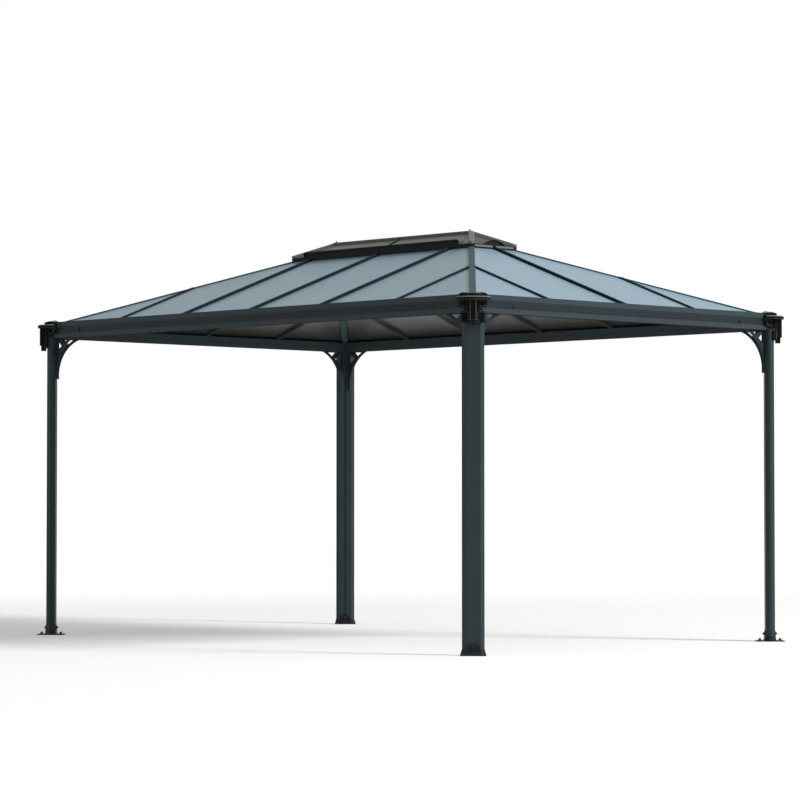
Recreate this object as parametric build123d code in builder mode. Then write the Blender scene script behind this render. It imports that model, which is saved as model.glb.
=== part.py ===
"""Open-sided metal garden gazebo with a two-tier hipped roof.

Frame: X along the long side, Y across it, Z up, origin on the ground in the middle.
The front long side faces -Y. Sizes are in millimetres and angles in degrees.
Pieces that repeat at the corners are drawn at the back right corner and mirrored.
"""

import math
import os

from build123d import *

# Overall size, to the outside faces of the eave beams
frame_length = 4300.0
frame_width = 2930.0
eave_height = 2118.0  # ground to the underside of the eave beams

# Shared clearances, and how far every cut runs past what it cuts
fit_gap = 0.3
cut_overrun = 200.0

# Posts: a flat octagon whose broad faces look along the plan diagonal
post_inset = 29.0  # post axis to each outside beam face
post_across = 140.0
post_depth = 62.0
post_facet = 24.0  # each bevelled facet, measured across and in depth
post_groove_width = 10.0
post_groove_depth = 6.0

# Feet: a bolted plate with a socket round the post
foot_length = 190.0
foot_breadth = 160.0
foot_thickness = 6.0
foot_corner = 15.0
anchor_spacing = 137.0
anchor_hole = 11.0
socket_wall = 3.0
socket_height = 30.0
flare_width = 6.5
flare_height = 26.0
tab_height = 68.0
tab_shoulder = 30.0
tab_top_width = 50.0
tab_corner = 10.0
tab_thickness = 5.0

# Eave beams: a banded outer face, a gutter trough and a low inner wall
beam_height = 116.0
beam_depth = 60.0
beam_wall = 4.0
lower_band = 28.0
dip_band = 13.0
mid_band = 20.0
groove_band = 20.0
dip_depth = 3.0
mid_depth = 1.5
groove_depth = 4.0
trough_floor = 30.0
inner_wall_height = 71.0
inner_groove_level = 34.0
inner_groove_width = 6.0
inner_groove_depth = 2.0

# Corner castings: core, tongue down the post, spout, lip, ears and top plate
core_width = 92.0
core_front = 11.0  # from the beams' outside corner, along the diagonal
core_chamfer = 8.0
tongue_width = 148.0
tongue_front = 5.0
tongue_drop = 68.0
tongue_rib = 60.0
tongue_corner = 15.0
post_cap_height = 10.0
post_cap_overhang = 2.0
spout_width = 48.0
spout_depth = 37.0
spout_top = 88.0
spout_drop = 50.0
spout_corner = 7.0
spout_channel_width = 34.0
spout_channel_depth = 8.0
nipple_width = 26.0
nipple_depth = 34.0
nipple_setback = 10.0  # behind the front of the spout
nipple_drop = 88.0
outlet_length = 24.0
outlet_width = 16.0
outlet_depth = 70.0
lip_radius = 112.0
lip_setback = 8.0  # its centre behind the post axis, along the diagonal
lip_reach = 92.0
lip_level = 76.0
lip_thickness = 22.0
lip_chamfer = 7.0
hat_radius = 90.0  # the step above the lip
hat_setback = 34.0
hat_pitch = 8.5  # its top falls outwards
hat_bevel = 16.0
plate_thickness = 15.0
ear_reach = 97.0
ear_proud = 3.0

# Corner braces: an arched spandrel with a strut from its corner
brace_reach = 234.0
brace_drop = 288.0
brace_tip = 3.0
brace_radius = 280.0
brace_post_leg = 3.0
brace_beam_leg = 6.0
brace_window_reach = 190.0
brace_window_drop = 94.0
brace_strut = 32.0
brace_thickness = 14.0
brace_wrap = 24.0

# Main roof
roof_pitch = 20.3
panel_thickness = 10.0
panel_edge_inset = 20.0
panel_gap = 1.0
rafter_spacing = 700.0
jack_inset = 755.0  # outside beam face to the point where two jack rafters meet a hip
rafter_width = 22.0
rafter_rise = 18.0
jack_rise = 12.0
rafter_drop = 24.0
rafter_foot_width = 24.0
rafter_web = 8.0
rafter_ledge_width = 44.0
rafter_ledge_thickness = 3.0
rafter_chamfer = 3.0
rafter_end_inset = 20.0
hip_width = 41.0
hip_thickness = 5.0
hip_ledge_width = 44.0
hip_web = 12.0
hip_chamfer = 2.0
hip_end_inset = 26.0

# Vent ring and upper roof
vent_width = 440.0  # across the ring, which stands as far in from all four sides
ring_width = 40.0
ring_rise = 24.0  # above the roof sheets
upper_pitch = 23.7
upper_thickness = 6.0
ridge_gap = 2.0
long_hood_setback = 120.0  # ring corner to the hood's shoulder
short_hood_setback = 108.0
hood_height = 40.0
hood_corner = 25.0
arch_height = 40.0
hood_skin = 4.0
hood_reach = 80.0
upper_frame_width = 24.0
upper_frame_depth = 34.0
cap_width = 41.0
cap_rise = 12.0
cap_chamfer = 4.0
cap_overhang = 1.0
strip_width = 16.0
strip_rise = 8.0
pin_diameter = 14.0
pin_taper = 10.0
pin_height = 13.0
pin_inset = 12.0

# Derived places
diagonal = math.sqrt(2)
half_x = frame_length / 2
half_y = frame_width / 2
post_x = half_x - post_inset
post_y = half_y - post_inset
post_face = post_across - 2 * post_facet
post_flat = (post_depth + post_face) / 2 / diagonal  # axis to the facets that face along the beams
post_front = post_depth / 2 - post_inset * diagonal  # outer post face from the beams' corner
roof_slope = math.tan(math.radians(roof_pitch))
roof_cos = math.cos(math.radians(roof_pitch))
hip_fall = roof_slope / diagonal
rafter_bottom = rafter_drop / roof_cos
panel_rise = panel_thickness / roof_cos
panel_level = eave_height + inner_wall_height + rafter_bottom - roof_slope * beam_depth
hip_end_level = panel_level + roof_slope * hip_end_inset
hip_cap_under = panel_rise + fit_gap
hip_rise = hip_cap_under + hip_thickness
upper_slope = math.tan(math.radians(upper_pitch))
upper_cos = math.cos(math.radians(upper_pitch))
upper_fall = upper_slope / diagonal
upper_rise = upper_thickness / upper_cos
ring_half_y = vent_width / 2
vent_inset = half_y - ring_half_y  # outside beam face to the ring's outer face
ring_half_x = half_x - vent_inset
ring_bottom = panel_level + roof_slope * vent_inset - rafter_bottom
ring_top = panel_level + roof_slope * vent_inset + (panel_thickness + ring_rise) / roof_cos
ridge_half = ring_half_x - ring_half_y
ridge_level = ring_top + upper_slope * ring_half_y
long_jack = half_x - jack_inset
short_jack = half_y - jack_inset
long_rafters = {
    -long_jack: jack_rise,
    -rafter_spacing: rafter_rise,
    0: rafter_rise,
    rafter_spacing: rafter_rise,
    long_jack: jack_rise,
}
short_rafters = {-short_jack: jack_rise, 0: rafter_rise, short_jack: jack_rise}
hat_inset = post_inset + hat_setback / diagonal  # hat's centre to each outside beam face
hat_reach = hat_inset + math.sqrt(hat_radius**2 - hat_inset**2)  # along a beam from its corner
hat_fall = math.tan(math.radians(hat_pitch)) / diagonal
BACK = Vector(0, 1, 0)
RIGHT = Vector(1, 0, 0)
CORNERS = {
    "front_left": (-1, -1),
    "front_right": (1, -1),
    "back_left": (-1, 1),
    "back_right": (1, 1),
}


def diagonal_plane(x, y, z):
    """Level plane with its x pointing out along the back right diagonal."""
    return Plane(origin=(x, y, z), x_dir=(1, 1, 0), z_dir=(0, 0, 1))


def slope_plane(outward, distance, level, pitch):
    """Plane of a roof slope: x along its eave, y up the slope, z out of its top."""
    rise = math.sin(math.radians(pitch))
    flat = math.cos(math.radians(pitch))
    return Plane(
        origin=outward * distance + Vector(0, 0, level),
        x_dir=(-outward.Y, outward.X, 0),
        z_dir=outward * rise + Vector(0, 0, flat),
    )


def both_sides(points):
    """Close a half outline, given from the bottom up, with its mirror image."""
    return points + [(-across, up) for across, up in reversed(points)]


def at_corner(piece, x_sign, y_sign):
    """Copy a piece of the back right corner to the corner with these signs."""
    with BuildPart() as placed:
        add(piece)
        if x_sign < 0:
            mirror(about=Plane.YZ, mode=Mode.REPLACE)
        if y_sign < 0:
            mirror(about=Plane.XZ, mode=Mode.REPLACE)
    return placed.part


def save(piece, name):
    """Label a piece and write it to its own file."""
    piece.label = name
    export_step(piece, f"parts/{name}.step")


def post_outline():
    """Flat octagon of a post in its diagonal plane."""
    Rectangle(post_depth, post_across)
    chamfer(vertices(), post_facet)


# Post
with BuildPart() as post:
    with BuildSketch(diagonal_plane(post_x, post_y, foot_thickness)):
        post_outline()
        with Locations((-post_depth / 2, 0)):
            Rectangle(2 * post_groove_depth, post_groove_width, mode=Mode.SUBTRACT)
    extrude(amount=eave_height - foot_thickness)

# Foot
with BuildPart() as foot:
    with BuildSketch(diagonal_plane(post_x, post_y, 0)):
        RectangleRounded(foot_length, foot_breadth, foot_corner)
        with Locations((anchor_spacing / 2, 0), (-anchor_spacing / 2, 0)):
            Circle(anchor_hole / 2, mode=Mode.SUBTRACT)
    extrude(amount=foot_thickness)
    with BuildSketch(diagonal_plane(post_x, post_y, foot_thickness)):
        post_outline()
        offset(amount=fit_gap + socket_wall, kind=Kind.INTERSECTION)
    extrude(amount=socket_height)
    with BuildSketch(diagonal_plane(post_x, post_y, foot_thickness)):
        post_outline()
        offset(amount=fit_gap + socket_wall + flare_width, kind=Kind.INTERSECTION)
    extrude(amount=flare_height, taper=math.degrees(math.atan(flare_width / flare_height)))
    for side in (1, -1):
        tab_shift = side * (post_depth / 2 + fit_gap) / diagonal
        tab_plane = Plane(
            origin=(post_x + tab_shift, post_y + tab_shift, foot_thickness),
            x_dir=(-side, side, 0),
            z_dir=(side, side, 0),
        )
        with BuildSketch(tab_plane):
            Polygon(
                (-post_face / 2, 0),
                (post_face / 2, 0),
                (post_face / 2, tab_shoulder),
                (tab_top_width / 2, tab_height),
                (-tab_top_width / 2, tab_height),
                (-post_face / 2, tab_shoulder),
                align=None,
            )
            chamfer(vertices().group_by(Axis.Y)[-1], tab_corner)
        extrude(amount=tab_thickness)
    with BuildSketch(diagonal_plane(post_x, post_y, foot_thickness)):
        post_outline()
        offset(amount=fit_gap, kind=Kind.INTERSECTION)
    extrude(amount=tab_height + cut_overrun, mode=Mode.SUBTRACT)


# Eave beams
def eave_beam(section_plane, run, plan_points):
    """Run the gutter section along one side and mitre both ends."""
    dip_top = lower_band + dip_band
    mid_top = dip_top + mid_band
    groove_top = mid_top + groove_band
    with BuildPart() as beam:
        with BuildSketch(section_plane):
            Polygon(
                (0, 0),
                (0, lower_band),
                (dip_depth, lower_band),
                (dip_depth, dip_top),
                (mid_depth, dip_top),
                (mid_depth, mid_top),
                (groove_depth, mid_top),
                (groove_depth, groove_top),
                (0, groove_top),
                (0, beam_height),
                (groove_depth + beam_wall, beam_height),
                (groove_depth + beam_wall, trough_floor),
                (beam_depth - beam_wall, trough_floor),
                (beam_depth - beam_wall, inner_wall_height),
                (beam_depth, inner_wall_height),
                (beam_depth, 0),
                align=None,
            )
            with Locations((beam_depth, inner_groove_level)):
                Rectangle(2 * inner_groove_depth, inner_groove_width, mode=Mode.SUBTRACT)
        extrude(amount=run)
        with BuildSketch(Plane.XY.offset(eave_height)):
            Polygon(*plan_points, align=None)
        extrude(amount=beam_height, mode=Mode.INTERSECT)
    return beam.part


back_beam = eave_beam(
    Plane(origin=(half_x, half_y, eave_height), x_dir=(0, -1, 0), z_dir=(-1, 0, 0)),
    frame_length,
    [
        (-half_x, half_y),
        (half_x, half_y),
        (half_x - beam_depth, half_y - beam_depth),
        (beam_depth - half_x, half_y - beam_depth),
    ],
)
right_beam = eave_beam(
    Plane(origin=(half_x, -half_y, eave_height), x_dir=(-1, 0, 0), z_dir=(0, 1, 0)),
    frame_width,
    [
        (half_x, -half_y),
        (half_x, half_y),
        (half_x - beam_depth, half_y - beam_depth),
        (half_x - beam_depth, beam_depth - half_y),
    ],
)

# Corner casting
with BuildPart() as casting:
    with BuildSketch(diagonal_plane(half_x, half_y, eave_height)):
        Polygon(
            (0, 0),
            (-core_width / 2, -core_width / 2),
            (core_front, -core_width / 2),
            (core_front, core_width / 2),
            (-core_width / 2, core_width / 2),
            align=None,
        )
        chamfer(vertices().group_by(Axis.X)[-1], core_chamfer)
    extrude(amount=beam_height)
    with BuildSketch(diagonal_plane(post_x, post_y, eave_height)):
        post_outline()
        offset(amount=post_cap_overhang, kind=Kind.INTERSECTION)
        with Locations((post_inset * diagonal, 0)):
            Polygon(
                (0, 0),
                (-post_across, post_across),
                (-post_across, -post_across),
                align=None,
                mode=Mode.SUBTRACT,
            )
    extrude(amount=post_cap_height)
    tongue_plane = Plane(
        origin=(half_x + post_front / diagonal, half_y + post_front / diagonal, eave_height),
        x_dir=(-1, 1, 0),
        z_dir=(1, 1, 0),
    )
    with BuildSketch(tongue_plane):
        with Locations((0, -tongue_drop / 2)):
            Rectangle(tongue_width, tongue_drop)
        fillet(vertices().group_by(Axis.Y)[0], tongue_corner)
    extrude(amount=tongue_front - post_front)
    with BuildSketch(tongue_plane):
        with Locations((0, -tongue_drop / 2)):
            Rectangle(tongue_rib, tongue_drop)
    extrude(amount=core_front - post_front)
    with BuildSketch(diagonal_plane(half_x, half_y, eave_height - spout_drop)):
        with Locations((core_front + spout_depth / 2, 0)):
            Rectangle(spout_depth, spout_width)
        chamfer(vertices().group_by(Axis.X)[-1], spout_corner)
        with Locations((core_front + spout_depth, 0)):
            Rectangle(2 * spout_channel_depth, spout_channel_width, mode=Mode.SUBTRACT)
    extrude(amount=spout_drop + spout_top)
    nipple_place = core_front + spout_depth - nipple_setback - nipple_depth / 2
    with BuildSketch(diagonal_plane(half_x, half_y, eave_height - nipple_drop)):
        with Locations((nipple_place, 0)):
            Rectangle(nipple_depth, nipple_width)
    extrude(amount=nipple_drop - spout_drop)
    with BuildSketch(diagonal_plane(half_x, half_y, eave_height - nipple_drop)):
        with Locations((nipple_place, 0)):
            Rectangle(outlet_length, outlet_width)
    extrude(amount=outlet_depth, mode=Mode.SUBTRACT)
    with BuildSketch(Plane((post_x, post_y, eave_height + lip_level))):
        with Locations((-lip_setback / diagonal, -lip_setback / diagonal)):
            Circle(lip_radius)
        with Locations(((lip_radius - lip_reach) / 2, (lip_radius - lip_reach) / 2)):
            Rectangle(lip_radius + lip_reach, lip_radius + lip_reach, mode=Mode.INTERSECT)
        with Locations((post_inset - lip_radius, post_inset - lip_radius)):
            Rectangle(2 * lip_radius, 2 * lip_radius, mode=Mode.SUBTRACT)
    lip = extrude(amount=lip_thickness, mode=Mode.PRIVATE)
    lip_rim = lip.edges().filter_by(GeomType.CIRCLE).group_by(Axis.Z)[-1]
    add(lip.chamfer(lip_chamfer, None, lip_rim))
    hat_level = lip_level + lip_thickness
    with BuildSketch(Plane((post_x, post_y, eave_height + hat_level))):
        with Locations((-hat_setback / diagonal, -hat_setback / diagonal)):
            Circle(hat_radius)
        with Locations((post_inset - hat_radius, post_inset - hat_radius)):
            Rectangle(2 * hat_radius, 2 * hat_radius, mode=Mode.SUBTRACT)
    extrude(amount=beam_height + plate_thickness - hat_level)
    ear_height = dip_band + mid_band + groove_band
    ear_middle = lower_band + ear_height / 2
    ear_round = ear_reach - ear_height / 2
    for face_normal, run_sign in ((BACK, 1), (RIGHT, -1)):
        ear_plane = Plane(
            origin=Vector(half_x, half_y, eave_height) - face_normal * mid_depth,
            x_dir=(-face_normal.Y, face_normal.X, 0),
            z_dir=face_normal,
        )
        with BuildSketch(ear_plane):
            with Locations((run_sign * ear_round / 2, ear_middle)):
                Rectangle(ear_round, ear_height)
            with Locations((run_sign * ear_round, ear_middle)):
                Circle(ear_height / 2)
        extrude(amount=mid_depth + ear_proud)
    with BuildSketch(Plane((half_x, half_y, eave_height + beam_height))):
        plate_ledge = groove_depth + beam_wall
        Rectangle(hat_reach, plate_ledge, align=(Align.MAX, Align.MAX))
        Rectangle(plate_ledge, hat_reach, align=(Align.MAX, Align.MAX))
    extrude(amount=plate_thickness)
    hip_seat = hip_end_level + hip_cap_under
    with BuildSketch(diagonal_plane(half_x, half_y, hip_seat)):
        Rectangle(hip_end_inset * diagonal, hip_width, align=(Align.MAX, Align.CENTER))
    extrude(amount=eave_height + beam_height + plate_thickness - hip_seat)
    hat_top = Plane(
        origin=(half_x - hat_reach, half_y, eave_height + beam_height + plate_thickness),
        x_dir=(-1, 1, 0),
        z_dir=(hat_fall, hat_fall, 1),
    )
    with BuildSketch(hat_top):
        Rectangle(6 * hat_radius, 6 * hat_radius)
    extrude(amount=cut_overrun, mode=Mode.SUBTRACT)
    with BuildSketch(tongue_plane):
        plate_top = beam_height + plate_thickness
        for side in (1, -1):
            Polygon(
                (side * (hat_radius - 2 * hat_bevel), plate_top),
                (side * hat_radius, plate_top - hat_bevel),
                (side * 2 * hat_radius, plate_top - hat_bevel),
                (side * 2 * hat_radius, plate_top),
                align=None,
            )
    extrude(amount=cut_overrun, both=True, mode=Mode.SUBTRACT)
    add(back_beam, mode=Mode.SUBTRACT)
    add(right_beam, mode=Mode.SUBTRACT)


# Corner braces
def corner_brace(along):
    """Arched brace from the back right post along one of its beams."""
    plane = Plane(
        origin=(post_x, post_y, eave_height),
        x_dir=along,
        z_dir=along.cross(Vector(0, 0, 1)),
    )
    low_tip = Vector(post_flat + brace_tip, -brace_drop)
    high_tip = Vector(brace_reach, -brace_tip)
    chord = high_tip - low_tip
    stand_off = math.sqrt(brace_radius**2 - (chord.length / 2) ** 2)
    centre = (low_tip + high_tip) / 2 + Vector(chord.Y, -chord.X).normalized() * stand_off
    strut_start = Vector(post_flat, 0)
    strut_run = centre - strut_start
    strut_angle = math.degrees(math.atan2(strut_run.Y, strut_run.X))
    start = post_flat - brace_wrap
    with BuildPart() as brace:
        with BuildSketch(plane):
            with Locations((start, 0)):
                Rectangle(brace_reach - start, brace_drop, align=(Align.MIN, Align.MAX))
            Polygon(
                (post_flat + brace_post_leg, -brace_beam_leg),
                (post_flat + brace_post_leg, -brace_window_drop),
                (brace_window_reach, -brace_beam_leg),
                align=None,
                mode=Mode.SUBTRACT,
            )
            with Locations(Location((strut_start.X, strut_start.Y, 0), (0, 0, strut_angle))):
                Rectangle(strut_run.length, brace_strut, align=(Align.MIN, Align.MIN))
            with Locations((start, 0)):
                Rectangle(
                    brace_reach - start,
                    brace_drop,
                    align=(Align.MIN, Align.MAX),
                    mode=Mode.INTERSECT,
                )
            with Locations((centre.X, centre.Y)):
                Circle(brace_radius, mode=Mode.SUBTRACT)
        extrude(amount=brace_thickness / 2, both=True)
        add(post.part, mode=Mode.SUBTRACT)
    return brace.part


long_brace = corner_brace(Vector(-1, 0, 0))
short_brace = corner_brace(Vector(0, -1, 0))

# Vent ring that closes the main roof and carries the upper one
with BuildPart() as vent_ring:
    with BuildSketch(Plane.XY.offset(ring_bottom)):
        Rectangle(2 * ring_half_x, 2 * ring_half_y)
        Rectangle(
            2 * (ring_half_x - ring_width),
            2 * (ring_half_y - ring_width),
            mode=Mode.SUBTRACT,
        )
    extrude(amount=ring_top - ring_bottom)

# Hip rafter
with BuildPart() as hip:
    hip_plane = Plane(
        origin=(half_x - hip_end_inset, half_y - hip_end_inset, hip_end_level),
        x_dir=(1, -1, 0),
        z_dir=(-1, -1, 0),
    )
    with BuildSketch(hip_plane):
        Polygon(
            *both_sides(
                [
                    (hip_ledge_width / 2, -rafter_bottom),
                    (hip_ledge_width / 2, -hip_fall * hip_ledge_width / 2),
                    (hip_web / 2, -hip_fall * hip_web / 2),
                    (hip_web / 2, hip_cap_under - hip_fall * hip_web / 2),
                    (hip_width / 2, hip_cap_under - hip_fall * hip_width / 2),
                    (hip_width / 2, hip_rise - hip_chamfer),
                    (hip_width / 2 - hip_chamfer, hip_rise),
                ]
            ),
            align=None,
        )
    hip_run = (vent_inset + ring_width / 2 - hip_end_inset) * math.sqrt(2 + roof_slope**2)
    extrude(amount=hip_run, dir=(-1, -1, roof_slope))
    add(back_beam, mode=Mode.SUBTRACT)
    add(right_beam, mode=Mode.SUBTRACT)
    with Locations((0, 0, ring_top)):
        Box(2 * ring_half_x, 2 * ring_half_y, 2 * cut_overrun, mode=Mode.SUBTRACT)

# Room over a hip cap, where the jack rafters stop
with BuildPart() as hip_way:
    with BuildSketch(hip_plane):
        with Locations((0, hip_cap_under)):
            Rectangle(hip_width, cut_overrun, align=(Align.CENTER, Align.MIN))
    extrude(amount=hip_run, dir=(-1, -1, roof_slope))


# Rafters and panels of one main slope
def slope_plan(outward, distance, eave_half):
    """Plan outline of a main slope between the hip lines and the vent ring."""
    along = Vector(-outward.Y, outward.X, 0)
    corners = []
    for inset, side in ((0, -1), (0, 1), (vent_inset, 1), (vent_inset, -1)):
        place = outward * (distance - inset) + along * side * (eave_half - inset)
        corners.append((place.X, place.Y))
    return corners


def slope_rafters(outward, distance, eave_half, rises, beam):
    """I-shaped rafters from the gutter to the vent ring, jacks cut to the hips."""
    slope = slope_plane(outward, distance, panel_level, roof_pitch)
    section_plane = Plane(
        origin=slope.from_local_coords((0, rafter_end_inset / roof_cos, 0)),
        x_dir=slope.x_dir * -1,
        z_dir=slope.y_dir,
    )
    cap_level = panel_thickness + fit_gap
    with BuildPart() as rafters:
        with BuildSketch(section_plane):
            with Locations(*[(place, 0) for place in rises]):
                Rectangle(rafter_foot_width, rafter_drop, align=(Align.CENTER, Align.MAX))
                Rectangle(
                    rafter_ledge_width,
                    rafter_ledge_thickness,
                    align=(Align.CENTER, Align.MAX),
                )
                Rectangle(rafter_web, cap_level, align=(Align.CENTER, Align.MIN))
            for place, rise in rises.items():
                cap_top = panel_thickness + rise
                with Locations((place, 0)):
                    Polygon(
                        *both_sides(
                            [
                                (rafter_width / 2, cap_level),
                                (rafter_width / 2, cap_top - rafter_chamfer),
                                (rafter_width / 2 - rafter_chamfer, cap_top),
                            ]
                        ),
                        align=None,
                    )
        extrude(amount=(vent_inset + ring_width / 2 - rafter_end_inset) / roof_cos)
        with BuildSketch(Plane.XY.offset(eave_height)):
            Polygon(*slope_plan(outward, distance, eave_half), align=None)
        extrude(amount=ridge_level - eave_height, mode=Mode.INTERSECT)
        add(beam, mode=Mode.SUBTRACT)
        for x_sign, y_sign in CORNERS.values():
            add(at_corner(hip.part, x_sign, y_sign), mode=Mode.SUBTRACT)
            add(at_corner(hip_way.part, x_sign, y_sign), mode=Mode.SUBTRACT)
    return rafters.part


def slope_panels(outward, distance, eave_half, places):
    """Twin-wall sheets of one slope, parted at the rafters and the hips."""
    hip_side = (hip_web / 2 + panel_gap) * diagonal
    low = panel_edge_inset
    high = vent_inset - panel_gap
    low_half = eave_half - low - hip_side
    high_half = eave_half - high - hip_side
    with BuildPart() as panels:
        with BuildSketch(slope_plane(outward, distance, panel_level, roof_pitch)):
            Polygon(
                (-low_half, low / roof_cos),
                (low_half, low / roof_cos),
                (high_half, high / roof_cos),
                (-high_half, high / roof_cos),
                align=None,
            )
            with Locations(*[(place, vent_inset / roof_cos) for place in places]):
                Rectangle(
                    rafter_web + 2 * panel_gap,
                    vent_inset / roof_cos,
                    align=(Align.CENTER, Align.MAX),
                    mode=Mode.SUBTRACT,
                )
        extrude(amount=panel_rise, dir=(0, 0, 1))
    return panels.part


back_rafters = slope_rafters(BACK, half_y, half_x, long_rafters, back_beam)
right_rafters = slope_rafters(RIGHT, half_x, half_y, short_rafters, right_beam)
back_panels = slope_panels(BACK, half_y, half_x, long_rafters)
right_panels = slope_panels(RIGHT, half_x, half_y, short_rafters)


# Upper roof sheets, each lifted into a low eyebrow hood over its vent
def long_hood_outline(skin):
    """Round-shouldered outline of a long vent hood, standing on the ring."""
    width = 2 * (ring_half_x - long_hood_setback - skin)
    Rectangle(width, hood_height - skin, align=(Align.CENTER, Align.MIN))
    fillet(vertices().group_by(Axis.Y)[-1], hood_corner - skin)


def short_hood_outline(skin):
    """Segmental arch of a short vent hood, standing on the ring."""
    half_span = ring_half_y - short_hood_setback
    arch_radius = (half_span**2 + arch_height**2) / 2 / arch_height
    with Locations((0, arch_height - arch_radius)):
        Circle(arch_radius - skin)
    Rectangle(2 * half_span, arch_height, align=(Align.CENTER, Align.MIN), mode=Mode.INTERSECT)


def upper_panel(outward, distance, eave_half, hood_outline):
    """One sheet of the upper roof with its hood and vent opening."""
    slope = slope_plane(outward, distance, ring_top, upper_pitch)
    mouth = Plane(
        origin=outward * distance + Vector(0, 0, ring_top),
        x_dir=(outward.Y, -outward.X, 0),
        z_dir=outward * -1,
    )
    run = ring_half_y - ridge_gap
    low_half = eave_half - fit_gap
    with BuildPart() as hood:
        with BuildSketch(mouth):
            hood_outline(0)
        extrude(amount=hood_reach)
        with BuildSketch(slope):
            Rectangle(2 * eave_half, 2 * ring_half_y / upper_cos)
        extrude(amount=cut_overrun, dir=(0, 0, -1), mode=Mode.SUBTRACT)
    with BuildPart() as panel:
        with BuildSketch(slope):
            Polygon(
                (-low_half, 0),
                (low_half, 0),
                (low_half - run, run / upper_cos),
                (run - low_half, run / upper_cos),
                align=None,
            )
        extrude(amount=upper_rise, dir=(0, 0, 1))
        add(hood.part)
        with BuildSketch(mouth):
            hood_outline(hood_skin)
        extrude(amount=hood_reach, mode=Mode.SUBTRACT)
    return panel.part


back_upper_panel = upper_panel(BACK, ring_half_y, ring_half_x, long_hood_outline)
right_upper_panel = upper_panel(RIGHT, ring_half_x, ring_half_y, short_hood_outline)

# Ridge pole and hips under the upper sheets
with BuildPart() as upper_frame:
    with BuildSketch(
        Plane(origin=(-ridge_half, 0, ridge_level), x_dir=(0, 1, 0), z_dir=(1, 0, 0))
    ):
        Polygon(
            (0, 0),
            (-upper_frame_width / 2, -upper_slope * upper_frame_width / 2),
            (-upper_frame_width / 2, -upper_frame_depth),
            (upper_frame_width / 2, -upper_frame_depth),
            (upper_frame_width / 2, -upper_slope * upper_frame_width / 2),
            align=None,
        )
    extrude(amount=2 * ridge_half)
    seat = ring_width / 2
    for x_sign, y_sign in CORNERS.values():
        rib_plane = Plane(
            origin=(
                x_sign * (ring_half_x - seat),
                y_sign * (ring_half_y - seat),
                ring_top + upper_slope * seat,
            ),
            x_dir=(y_sign, -x_sign, 0),
            z_dir=(-x_sign, -y_sign, 0),
        )
        with BuildSketch(rib_plane):
            Polygon(
                (0, 0),
                (-upper_frame_width / 2, -upper_fall * upper_frame_width / 2),
                (-upper_frame_width / 2, -upper_frame_depth),
                (upper_frame_width / 2, -upper_frame_depth),
                (upper_frame_width / 2, -upper_fall * upper_frame_width / 2),
                align=None,
            )
        extrude(
            amount=(ring_half_y - seat) * math.sqrt(2 + upper_slope**2),
            dir=(-x_sign, -y_sign, upper_slope),
        )
    add(vent_ring.part, mode=Mode.SUBTRACT)

# Hip caps over the upper sheets
with BuildPart() as upper_hip_caps:
    with BuildSketch(
        Plane(
            origin=(
                ring_half_x + cap_overhang,
                ring_half_y + cap_overhang,
                ring_top + upper_rise - upper_slope * cap_overhang,
            ),
            x_dir=(1, -1, 0),
            z_dir=(-1, -1, 0),
        )
    ):
        Polygon(
            (0, 0),
            (cap_width / 2, -upper_fall * cap_width / 2),
            (cap_width / 2, cap_rise - cap_chamfer),
            (cap_width / 2 - cap_chamfer, cap_rise),
            (cap_chamfer - cap_width / 2, cap_rise),
            (-cap_width / 2, cap_rise - cap_chamfer),
            (-cap_width / 2, -upper_fall * cap_width / 2),
            align=None,
        )
    extrude(
        amount=(ring_half_y + cap_overhang) * math.sqrt(2 + upper_slope**2),
        dir=(-1, -1, upper_slope),
    )
    with Locations((ridge_half, fit_gap, ring_top)):
        Box(
            ring_half_y + cap_overhang,
            ring_half_y + cap_overhang - fit_gap,
            2 * cut_overrun,
            align=(Align.MIN, Align.MIN, Align.CENTER),
            mode=Mode.INTERSECT,
        )
    mirror(about=Plane.YZ)
    mirror(about=Plane.XZ)

# Ridge cap with a pin at each end
with BuildPart() as ridge_cap:
    ridge_top = ridge_level + upper_rise
    with BuildSketch(
        Plane(origin=(-ridge_half, 0, ridge_top), x_dir=(0, 1, 0), z_dir=(1, 0, 0))
    ):
        Polygon(
            (0, 0),
            (cap_width / 2, -upper_slope * cap_width / 2),
            (cap_width / 2, cap_rise - cap_chamfer),
            (cap_width / 2 - cap_chamfer, cap_rise),
            (cap_chamfer - cap_width / 2, cap_rise),
            (-cap_width / 2, cap_rise - cap_chamfer),
            (-cap_width / 2, -upper_slope * cap_width / 2),
            align=None,
        )
    extrude(amount=2 * ridge_half)
    pin_place = ridge_half - pin_inset
    with BuildSketch(Plane.XY.offset(ridge_top + cap_rise)):
        with Locations((-pin_place, 0), (pin_place, 0)):
            RegularPolygon(pin_diameter / 2, 6)
    extrude(amount=pin_height, taper=pin_taper)

# Joint strips down the middle of the long upper sheets
with BuildPart() as joint_strips:
    strip_plane = slope_plane(BACK, ring_half_y, ring_top + upper_rise, upper_pitch)
    with BuildSketch(strip_plane):
        strip_low = hood_reach
        strip_high = ring_half_y - cap_width / 2 - fit_gap
        with Locations((0, strip_low / upper_cos)):
            Rectangle(
                strip_width,
                (strip_high - strip_low) / upper_cos,
                align=(Align.CENTER, Align.MIN),
            )
    extrude(amount=strip_rise, dir=(0, 0, 1))
    mirror(about=Plane.XZ)

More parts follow.
